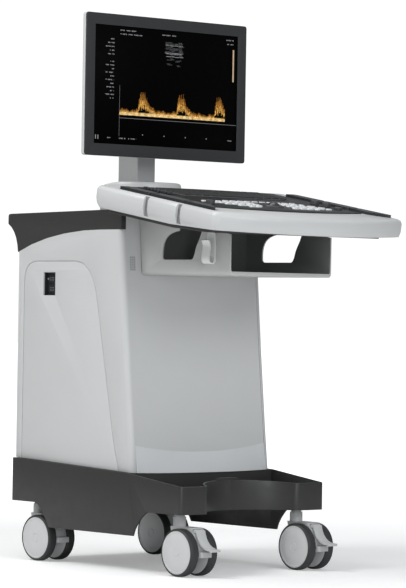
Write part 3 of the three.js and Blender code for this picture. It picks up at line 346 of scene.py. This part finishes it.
def build_wheel(corner, side):
    """Twin caster wheel: rubber tyre with a crowned tread round a nylon disc with a turned ring."""
    node = f"caster_{corner}_wheel_{side}"
    low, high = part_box(node)
    outward = -1 if side == "left" else 1
    centre = (low + high) / 2
    half = (high.x - low.x) / 2
    radius = (high.z - low.z) / 2
    profile = [
        (4.4 * MM, half - 4 * MM), (4.4 * MM, -half), (radius * 0.88, -half), (radius * 0.9, -half),
        (radius * 0.955, -half + 0.8 * MM), (radius * 0.985, -half + 2.4 * MM),
        (radius * 0.998, -half + 5 * MM), (radius, 0), (radius * 0.998, half - 5 * MM),
        (radius * 0.985, half - 2.4 * MM),
        (radius * 0.955, half - 0.8 * MM), (radius * 0.915, half), (radius * 0.905, half - 0.1 * MM),
        (radius * 0.9, half - 1.2 * MM), (radius * 0.88, half - 0.6 * MM), (radius * 0.82, half - 0.5 * MM),
        (radius * 0.8, half - 1.1 * MM), (radius * 0.78, half - 0.6 * MM), (radius * 0.45, half - 0.2 * MM),
        (radius * 0.2, half - 0.3 * MM), (radius * 0.19, half - 0.9 * MM), (radius * 0.17, half - 0.9 * MM),
        (radius * 0.16, half - 0.2 * MM), (0, half), (0, half - 4 * MM), (4.4 * MM, half - 4 * MM),
    ]
    rubber, disc = 0, 1
    inner_edges, tread_edges = 3, 10
    outer_edges = len(profile) - inner_edges - tread_edges
    materials = [disc] * inner_edges + [rubber] * tread_edges + [disc] * outer_edges
    bm = bmesh.new()
    turn = Matrix.Rotation(math.pi / 2 * outward, 4, "Y")
    revolve(bm, profile, 56, materials, Matrix.Translation(centre) @ turn)
    bmesh.ops.remove_doubles(bm, verts=bm.verts, dist=1e-6)
    body = nodes[node]["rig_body"]
    from_bmesh(node + "_look", bm, body, [TYRE, HUB], [node], sharp=32)


for corner in ("fl", "fr", "rl", "rr"):
    refined(f"caster_{corner}_fork", [CASTER], 1.3 * MM, 3, sharp=50)
    for side in ("left", "right"):
        build_wheel(corner, side)
    coat_node(f"caster_{corner}_axle", STEEL)
for corner in ("fl", "fr"):
    refined(f"caster_{corner}_brake_pedal", [CASTER], 0.9 * MM, 3, sharp=50)

# ------------------------------------------------------------------ cabinet
for node in ("left_side_panel", "right_side_panel", "rear_cover"):
    refined(node, [PANEL], 0.6 * MM, 2, sharp=30)


CREASE_Z = 248.5 * MM  # height of the crease across the front panel, at its middle
CREASE_RISE = 15.5 * MM  # how much higher the crease ends at the panel's sides
PANEL_HALF = 183.8 * MM


def kick_painted_highlight(face):
    """The kick panel below the curved crease is painted a shade brighter than the face above it: a painted
    highlight where its ramp faces up into the top light.
    """
    centre = face.calc_center_median()
    edge = CREASE_Z + CREASE_RISE * (centre.x / PANEL_HALF) ** 2
    return 1 if centre.z < edge - 1 * MM else 0


# The kick faces take the lighter paint, a painted highlight on the ramp.
refined("front_panel", [PANEL, KICK_PAINTED_HIGHLIGHT], 0.6 * MM, 2, sharp=4, paint=kick_painted_highlight)
for node in ("left_service_cover", "right_service_cover"):
    refined(node, [LIGHT], 0.7 * MM, 2, sharp=30)
refined("top_cap", [DARK], 1.8 * MM, 3, sharp=50)
refined("port_block", [BLACK], 0.5 * MM, 2)


def port_details():
    """Contacts and jackscrews of the recessed connector block."""
    low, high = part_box("port_block")
    face = low.x + 3.9 * MM
    middle = (low + high) / 2
    bm = bmesh.new()
    for group in (-1, 1):
        centre_z = middle.z + group * 11 * MM
        for row in range(2):
            for column in range(3):
                y = middle.y + (column - 1) * 5 * MM
                z = centre_z + (row - 0.5) * 5 * MM
                place = Matrix.Translation((face, y, z)) @ Matrix.Rotation(-math.pi / 2, 4, "Y")
                loops = [[(x, w, 0) for x, w in rounded_loop(1.2 * MM, 1.2 * MM, 0.5 * MM, 2)]]
                loops.append([(x, w, 0.8 * MM) for x, w in rounded_loop(0.9 * MM, 0.9 * MM, 0.4 * MM, 2)])
                stack(bm, loops, 0, place)
    for side in (-1, 1):
        place = Matrix.Translation((low.x + 8 * MM, middle.y + side * 15 * MM, middle.z + 11 * MM))
        profile = [(0, 0), (2.4 * MM, 0), (2.4 * MM, 3 * MM), (1.9 * MM, 3.6 * MM), (0, 3.2 * MM)]
        revolve(bm, profile, 6, [1] * 4, place @ Matrix.Rotation(-math.pi / 2, 4, "Y"))
    from_bmesh("port_contacts", bm, "trolley", [PIN, STEEL], sharp=30)


port_details()

for node, material in {
    "base_frame": RAIL, "rack_frame": ZINC, "electronics_cage": ZINC, "power_supply": ZINC,
    "fan_housing": BLACK, "fan_rotor": BLACK,
}.items():
    coat_node(node, material)

# ------------------------------------------------------------------ storage box and hook
box_low, box_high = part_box("storage_box")


def box_paint(face):
    """The box is light outside and on its front rim, and darker on its inner faces."""
    centre = face.calc_center_median()
    side = box_high.x - abs(centre.x)
    inward = side > 2 * MM and centre.z > box_low.z + 4 * MM
    rim = face.normal.y < -0.9 and centre.y < box_low.y + 3 * MM
    return 1 if inward and not rim else 0


refined("storage_box", [BOXGREY, INSIDE], 0.7 * MM, 2, sharp=40, paint=box_paint)
refined("cable_hook", [WHITE], 0.9 * MM, 3, sharp=50)

# ------------------------------------------------------------------ console
GROOVES = (-30 * MM, -135 * MM)  # places of the cable grooves along the deck
GROOVE_HALF = 6.9 * MM
GROOVE_INNER = 253.5 * MM
GROOVE_FOOT = -46 * MM
WELL_X = (220.5 * MM, 249.8 * MM)  # inner and outer side of the probe wells
WELL_Z = (-29.5 * MM, 2.2 * MM)
BALL_V = -130 * MM  # place of the trackball along the deck


def shell_paint(face):
    """The floors of the two cable grooves on each side are painted a darker grey: painted shade down in the
    slots.
    """
    centre = DECK.inverted() @ face.calc_center_median()
    in_groove = any(abs(centre.y - v) < GROOVE_HALF for v in GROOVES)
    return 1 if in_groove and abs(centre.x) > GROOVE_INNER and centre.z > GROOVE_FOOT else 0


# The groove faces take the darker grey as painted shade.
refined("console_shell", [LIGHT, GROOVE_PAINTED_SHADE], 1.0 * MM, 2, sharp=40, paint=shell_paint)
refined("console_bottom", [DARK], 1.0 * MM, 2)
refined("control_panel", [BLACK], 0.6 * MM, 2)


def holder_painted_sheen(face):
    """The insides of the probe wells are painted a lighter grey than their rims: a painted sheen on the
    well walls.
    """
    centre = DECK.inverted() @ face.calc_center_median()
    normal = DECK.inverted().to_3x3() @ face.normal
    inside = WELL_X[0] < abs(centre.x) < WELL_X[1] and WELL_Z[0] < centre.z < WELL_Z[1]
    return 1 if inside and abs(normal.z) < 0.5 else 0


for node in ("left_probe_holder", "right_probe_holder"):
    # The well walls take the lighter key-surround grey as a painted sheen.
    refined(node, [BLACK, KEYGREY], 0.5 * MM, 2, sharp=50, paint=holder_painted_sheen)


def front_face(z):
    """Y of the cabinet's leaning front face at a height."""
    rise = z / MM - 208
    return (-39.2 + 0.116 * rise - 3.63e-5 * rise * rise) * MM + CENTRING


def letter_keys():
    """Four staggered rows of letter keys and a bottom row with a long space bar."""
    bm = bmesh.new()
    low = 2.4 * MM
    half_x, rear, front = 150 * MM, 91 * MM, -15 * MM
    middle = (rear + front) / 2
    half_v = (rear - front) / 2
    mat = rounded_loop(half_x, half_v, 6 * MM, 4)
    stack(bm, [[(x, v + middle, height) for x, v in mat] for height in (low, low + 1.1 * MM)], 1)
    rows = 5
    pitch_v = (2 * half_v - 6 * MM) / rows
    edge = half_x - 3 * MM
    gap = 0.9 * MM
    for row in range(rows):
        v = front + 3 * MM + pitch_v * (row + 0.5)
        first, last = ((0, 0), (2.2, 1.6), (1.8, 1.8), (1.5, 1.1), (1.0, 1.6))[row]
        widths = [first] + [1.0] * 12 + [last] if row else [1.3, 1.1, 1.1, 1.1, 5.0, 1.1, 1.1, 1.1, 1.1]
        total = sum(widths)
        x = -edge
        for width in widths:
            span = 2 * edge * width / total
            half_key = span / 2 - gap
            keycap(bm, x + span / 2, v, half_key, pitch_v / 2 - gap, low + 0.8 * MM, low + 3.6 * MM)
            x += span
    from_bmesh(
        "letter_keys", bm, "trolley", [KEYBLACK, KEYGREY], ["letter_keypad"],
        sharp=35, place=DECK,
    )


def function_keys():
    """Silver keys: a bar behind the trackball and a wing of curved rows on each side of it."""
    bm = bmesh.new()
    low = 2.2 * MM
    high = low + 2.6 * MM
    left = ((-92, 36, 174), (-109, 36, 160), (-126, 38, 137), (-143, 42, 114), (-159, 60, 96))
    right = ((-95, 38, 116), (-112, 36, 130), (-129, 36, 142), (-146, 34, 148), (-162, 24, 102))
    for side, rows, drop in ((-1, left, 4), (1, right, 9)):
        for row, (v, inner, outer) in enumerate(rows):
            count = round((outer - inner) / 21)
            step = (outer - inner) / count
            for k in range(count):
                x = inner + (k + 0.5) * step
                far = x / 150
                half = step / 2 - 2.2
                if (row + k) % 4 == 3:
                    half *= 0.72
                place_v = v - drop * far * far
                turn = -side * 0.1 * far
                keycap(bm, side * x * MM, place_v * MM, half * MM, 4.6 * MM, low, high, 0, 2.0 * MM, turn)
    for k in range(10):
        x = (k - 4.5) * 21 + 6
        keycap(bm, x * MM, (-74 - 0.02 * abs(x)) * MM, 7.6 * MM, 3 * MM, low, low + 1.8 * MM, 0, 1.2 * MM)
    from_bmesh(
        "function_keys", bm, "trolley", [SILVER], ["function_keypad"], sharp=35, place=DECK,
    )


def function_key_legends():
    """A fine dark dot on the keys of the bar, where a printed sign would be."""
    bm = bmesh.new()
    for k in range(10):
        x = (k - 4.5) * 21 + 6
        dot = rounded_loop(1.6 * MM, 0.9 * MM, 0.5 * MM, 2)
        loop = [(px + x * MM, py - (74 + 0.02 * abs(x)) * MM) for px, py in dot]
        stack(bm, [[(px, py, 3.9 * MM) for px, py in loop], [(px, py, 4.15 * MM) for px, py in loop]])
    from_bmesh("key_legends", bm, "trolley", [KEYGREY], sharp=35, place=DECK)


def speaker_hole_shades():
    """The small perforated patch on the front panel, to the left of the storage box, drawn as dark discs:
    painted shade in the place of its holes.
    """
    bm = bmesh.new()
    for column in range(3):
        for row in range(6):
            if column != 1 and row in (0, 5):
                rise_in = 0.6 if row == 0 else -0.6
            else:
                rise_in = 0.0
            x = (-167 + (column - 1) * 5.4) * MM
            z = (649 + (row - 2.5) * 5.4 + rise_in) * MM
            y = front_face(z)
            loops = [[(x + px, y - depth, z + pz) for px, pz in rounded_loop(r, r, r * 0.96, 3)]
                     for r, depth in ((1.6 * MM, -0.3 * MM), (1.4 * MM, 0.35 * MM))]
            stack(bm, loops)
    # The dark discs are painted shade standing for the perforations.
    from_bmesh("speaker_hole_shades", bm, "trolley", [KNOBGREY], sharp=35)


def ball_and_ring():
    """Polished ball in a collar with a rolled lip."""
    low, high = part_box("trackball")
    centre = (low + high) / 2
    radius = (high.x - low.x) / 2
    bm = bmesh.new()
    bmesh.ops.create_uvsphere(bm, u_segments=40, v_segments=24, radius=radius)
    bmesh.ops.translate(bm, verts=bm.verts, vec=centre)
    body = nodes["trackball"]["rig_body"]
    from_bmesh("trackball_look", bm, body, [BALL], ["trackball"], sharp=60)
    ring = bmesh.new()
    profile = [
        (17 * MM, 2.2 * MM), (17 * MM, 4.2 * MM), (18 * MM, 5.2 * MM), (20.5 * MM, 4.8 * MM),
        (22 * MM, 3.4 * MM), (22.4 * MM, 2.2 * MM), (17 * MM, 2.2 * MM),
    ]
    revolve(ring, profile, 48, [0] * 6, Matrix.Translation((0, BALL_V, 0)))
    bmesh.ops.remove_doubles(ring, verts=ring.verts, dist=1e-6)
    from_bmesh("trackball_collar", ring, "trolley", [KNOBGREY], sharp=40, place=DECK)


def knob(node):
    """A knob with a fluted grip."""
    low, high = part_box(node)
    local = DECK.inverted() @ ((low + high) / 2)
    bm = bmesh.new()
    segments = 48
    levels = ((0, 1.0), (1.0, 1.0), (1.4, 0.93), (7.4, 0.90), (8.5, 0.84), (9, 0.74))
    loops = []
    for height, scale in levels:
        loop = []
        for i in range(segments):
            angle = 2 * math.pi * i / segments
            flute = 1 - 0.05 * (0.5 + 0.5 * math.cos(16 * angle)) if 1.2 < height < 8 else 1
            r = 10.5 * MM * scale * flute
            loop.append((r * math.cos(angle), r * math.sin(angle), height * MM))
        loops.append(loop)
    place = Matrix.Translation((local.x, local.y, 2.4 * MM))
    stack(bm, loops, 0, place)
    body = nodes[node]["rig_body"]
    from_bmesh(node + "_look", bm, body, [KNOBGREY], [node], sharp=40, place=DECK)


letter_keys()
function_keys()
function_key_legends()
speaker_hole_shades()
ball_and_ring()
for node in ("gain_knob", "depth_knob", "zoom_knob"):
    knob(node)
refined("freeze_key", [KNOBGREY], 1.4 * MM, 3)
for i in range(1, 9):
    refined(f"tgc_slider_{i}", [KNOBGREY], 0.8 * MM, 3)

# ------------------------------------------------------------------ monitor
# The post's darker grey is partly its own paint and partly painted shade from the monitor.
refined("monitor_pole", [POST_GREY_AND_SHADE], 0.8 * MM, 2, sharp=40)
refined("swivel_head", [LIGHT], 0.9 * MM, 2, sharp=40)
refined("monitor_back", [LIGHT], 1.2 * MM, 3, sharp=40)
refined("monitor_bezel", [BEZEL], 0.8 * MM, 3, sharp=40)
refined("lcd_panel", [SCREEN], 0.3 * MM, 1)


def screen_picture():
    """A made-up scan: a flow trace, a small sector image, a grey scale bar and rows of marks."""
    low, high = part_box("lcd_panel")
    inset = 5.9 * MM
    x0, x1 = low.x + inset, high.x - inset
    z0, z1 = low.z + inset, high.z - inset
    y = low.y - 0.15 * MM
    bm = bmesh.new()

    def point(u, v):
        return bm.verts.new((x0 + (x1 - x0) * u, y, z1 + (z0 - z1) * v))

    def quad(u0, v0, u1, v1, index):
        face = bm.faces.new([point(u0, v0), point(u0, v1), point(u1, v1), point(u1, v0)])
        face.material_index = index

    amber, gold, pale, sector, scale_bar, bright = range(6)
    beats = (0.33, 0.60, 0.87)
    count = 260
    start, end, base = 0.17, 0.915, 0.752

    def height(u):
        value = 0.052 + 0.008 * math.sin(u * 71) + 0.006 * math.sin(u * 173 + 1)
        for beat in beats:
            rise = (u - beat + 0.012) / 0.016 if u < beat - 0.012 else (u - beat - 0.008) / 0.026
            steep = rise ** 4 if u < beat - 0.012 else max(0.0, rise) ** 2
            value += 0.155 * math.exp(-steep) + 0.03 * math.exp(-(((u - beat - 0.06) / 0.035) ** 2))
        return value

    def ragged(i):
        return 0.5 + 0.5 * math.sin(i * 2.399) * math.sin(i * 1.13 + 2)

    for i in range(count):
        a = start + (end - start) * i / count
        b = start + (end - start) * (i + 0.62) / count
        tall = height(a) * (0.72 + 0.36 * ragged(i))
        quad(a, base - tall, b, base - tall * 0.72, amber)
        if ragged(i + 9) > 0.22:
            quad(a, base - tall * 0.7, b, base - tall * (0.3 + 0.2 * ragged(i + 5)), gold)
        foot = 0.022 + 0.012 * ragged(i * 3)
        quad(a, base - foot, b, base - 0.002, bright if ragged(i * 7) > 0.35 else gold)
    quad(start, 0.5, start + 0.0012, 0.93, pale)
    quad(start, 0.775, 0.995, 0.7775, pale)
    for row in range(26):
        depth = row / 25
        left = 0.478 + 0.012 * ragged(row * 3) + 0.03 * max(0.0, depth - 0.5)
        right = 0.63 - 0.03 * ragged(row * 5 + 1) - 0.05 * max(0.0, depth - 0.5)
        strong = row in (3, 11, 12, 15)
        u = left
        step = 0
        while u < right:
            length = 0.012 + 0.03 * ragged(row * 5 + step * 3)
            if strong or ragged(row * 11 + step * 7) > 0.2 + 0.6 * depth:
                v = 0.1 + 0.2 * depth + 0.004 * ragged(step * 13 + row)
                thick = 0.005 if strong else 0.003
                quad(u, v, min(u + length, right), v + thick, pale if strong else sector)
            u += length + 0.003
            step += 1
    for k in range(14):
        quad(0.965, 0.12 + k * 0.02, 0.975, 0.14 + k * 0.02, scale_bar)

    def ticks(u0, u1, v, seed):
        """A broken row of small upright bars, in place of a line of figures."""
        u = u0
        step = 0
        while u < u1:
            width = 0.0035 + 0.002 * ((seed + step) % 3)
            tall = 0.009 if (seed + step) % 4 else 0.006
            if (seed * 3 + step) % 5:
                quad(u, v, min(u + width, u1), v + tall, pale)
            u += width + 0.0022
            step += 1

    for k in range(5):
        ticks(0.13 - 0.03 - 0.014 * (k % 3), 0.13, 0.11 + k * 0.032, k)
    for k in range(11):
        ticks(0.13 - 0.025 - 0.016 * ((k * 2) % 4), 0.13, 0.30 + k * 0.031, k + 3)
    for row, (u0, u1, v) in enumerate((
        (0.17, 0.28, 0.03), (0.17, 0.32, 0.062), (0.46, 0.56, 0.04),
        (0.91, 0.97, 0.035), (0.925, 0.97, 0.07),
        (0.17, 0.215, 0.945), (0.235, 0.29, 0.945), (0.09, 0.12, 0.945), (0.93, 0.97, 0.91),
    )):
        ticks(u0, u1, v, row + 7)
    for k in range(4):
        quad(0.33 + k * 0.15, 0.905, 0.336 + k * 0.15, 0.914, pale)
    for u in (0.008, 0.024):
        quad(u, 0.93, u + 0.006, 0.965, pale)
    materials = [
        glowing("trace_amber", (0.6, 0.24, 0.02), 1.2, 0.9),
        glowing("trace_gold", (1.0, 0.52, 0.1), 1.7, 0.85),
        glowing("mark_grey", (0.5, 0.5, 0.52), 0.55, 0.3),
        glowing("sector_grey", (0.42, 0.44, 0.46), 0.4, 0.95),
        glowing("scale_amber", (0.85, 0.62, 0.4), 0.7, 0.3),
        glowing("echo_white", (1.0, 0.74, 0.34), 1.9, 0.6),
    ]
    from_bmesh("screen_picture", bm, "monitor", materials)


screen_picture()


# ------------------------------------------------------------------ floor, light and camera
def stage_floor():
    """A wide pale floor with a little light of its own, so that it runs out into the white backdrop."""
    bm = bmesh.new()
    reach = 30.0
    corners = ((-reach, -reach), (reach, -reach), (reach, reach), (-reach, reach))
    bm.faces.new([bm.verts.new((x, y, 0)) for x, y in corners])
    mesh = bpy.data.meshes.new("studio_floor")
    bm.to_mesh(mesh)
    bm.free()
    floor = bpy.data.objects.new("studio_floor", mesh)
    bpy.context.scene.collection.objects.link(floor)
    paint = moulded("floor_paint", (0.88, 0.88, 0.88), 0.7, 200, 0.01, 0.005)
    tree = paint.node_tree
    principled = tree.nodes["Principled BSDF"]
    place = add(tree, "ShaderNodeTexCoord")
    away = add(tree, "ShaderNodeVectorMath", operation="LENGTH")
    lift = add(tree, "ShaderNodeMapRange")
    for name, value in (("From Min", 1.1), ("From Max", 3.8), ("To Min", 0.26), ("To Max", 1.0)):
        lift.inputs[name].default_value = value
    tree.links.new(place.outputs["Object"], away.inputs[0])
    tree.links.new(away.outputs["Value"], lift.inputs["Value"])
    path = add(tree, "ShaderNodeLightPath")
    seen = add(tree, "ShaderNodeMath", operation="MULTIPLY")
    tree.links.new(path.outputs["Is Camera Ray"], seen.inputs[0])
    tree.links.new(lift.outputs["Result"], seen.inputs[1])
    principled.inputs["Emission Color"].default_value = (1, 1, 1, 1)
    tree.links.new(seen.outputs["Value"], principled.inputs["Emission Strength"])
    mesh.materials.append(paint)


def area_light(name, place, aim, size, power, color=(1, 1, 1)):
    data = bpy.data.lights.new(name, "AREA")
    data.shape = "RECTANGLE"
    data.size, data.size_y = size
    data.energy = power
    data.color = color
    lamp = bpy.data.objects.new(name, data)
    bpy.context.scene.collection.objects.link(lamp)
    lamp.location = place
    direction = Vector(aim) - Vector(place)
    lamp.rotation_euler = direction.to_track_quat("-Z", "Y").to_euler()


def white_for_camera(tree, surface_input, seen, unseen):
    """Shows one shader to the camera and lights the scene with the other."""
    path = add(tree, "ShaderNodeLightPath")
    mix = add(tree, "ShaderNodeMixShader")
    tree.links.new(path.outputs["Is Camera Ray"], mix.inputs["Fac"])
    tree.links.new(unseen, mix.inputs[1])
    tree.links.new(seen, mix.inputs[2])
    tree.links.new(mix.outputs["Shader"], surface_input)


def build_stage():
    stage_floor()
    area_light("key_light", (-3.3, 0.9, 4.3), (0, 0, 0.6), (2.0, 2.2), 136)
    area_light("edge_strip", (-2.9, -4.2, 1.0), (0, 0, 0.5), (0.3, 1.8), 33, (0.93, 0.97, 1.0))
    area_light("front_light", (-0.6, -4.2, 2.5), (0, 0, 0.5), (2.4, 1.6), 62, (0.96, 0.98, 1.0))
    area_light("top_light", (-0.3, 0.2, 4.0), (0, 0, 0.6), (2.4, 2.4), 36)
    world = bpy.data.worlds.new("studio")
    bpy.context.scene.world = world
    world.use_nodes = True
    tree = world.node_tree
    soft = tree.nodes["Background"]
    soft.inputs["Color"].default_value = (0.95, 0.98, 1, 1)
    soft.inputs["Strength"].default_value = 0.29
    backdrop = add(tree, "ShaderNodeBackground", Color=(1, 1, 1, 1), Strength=1.05)
    surface = tree.nodes["World Output"].inputs["Surface"]
    white_for_camera(tree, surface, backdrop.outputs["Background"], soft.outputs["Background"])
    bpy.context.scene.view_settings.view_transform = "Standard"


FOCAL_LENGTH = 191.06
CAMERA_PLACE = (-4.4111, -5.0628, 0.5600)
CAMERA_TURN = (41.14, 0.23, 0.94)  # yaw, pitch and roll in degrees


def build_camera():
    """The camera stands to the operator's left, level with the cabinet, with a long lens."""
    yaw, pitch, roll = (math.radians(angle) for angle in CAMERA_TURN)
    ahead = Vector((math.sin(yaw) * math.cos(pitch), math.cos(yaw) * math.cos(pitch), math.sin(pitch)))
    level = Vector((math.cos(yaw), -math.sin(yaw), 0))
    upright = level.cross(ahead)
    right = math.cos(roll) * level + math.sin(roll) * upright
    up = -math.sin(roll) * level + math.cos(roll) * upright
    data = bpy.data.cameras.new("camera")
    data.lens = FOCAL_LENGTH
    data.sensor_width = 36
    data.clip_end = 60
    camera = bpy.data.objects.new("camera", data)
    bpy.context.scene.collection.objects.link(camera)
    matrix = Matrix((right, up, -ahead)).transposed().to_4x4()
    matrix.translation = CAMERA_PLACE
    camera.matrix_world = matrix
    bpy.context.scene.camera = camera


build_stage()
build_camera()

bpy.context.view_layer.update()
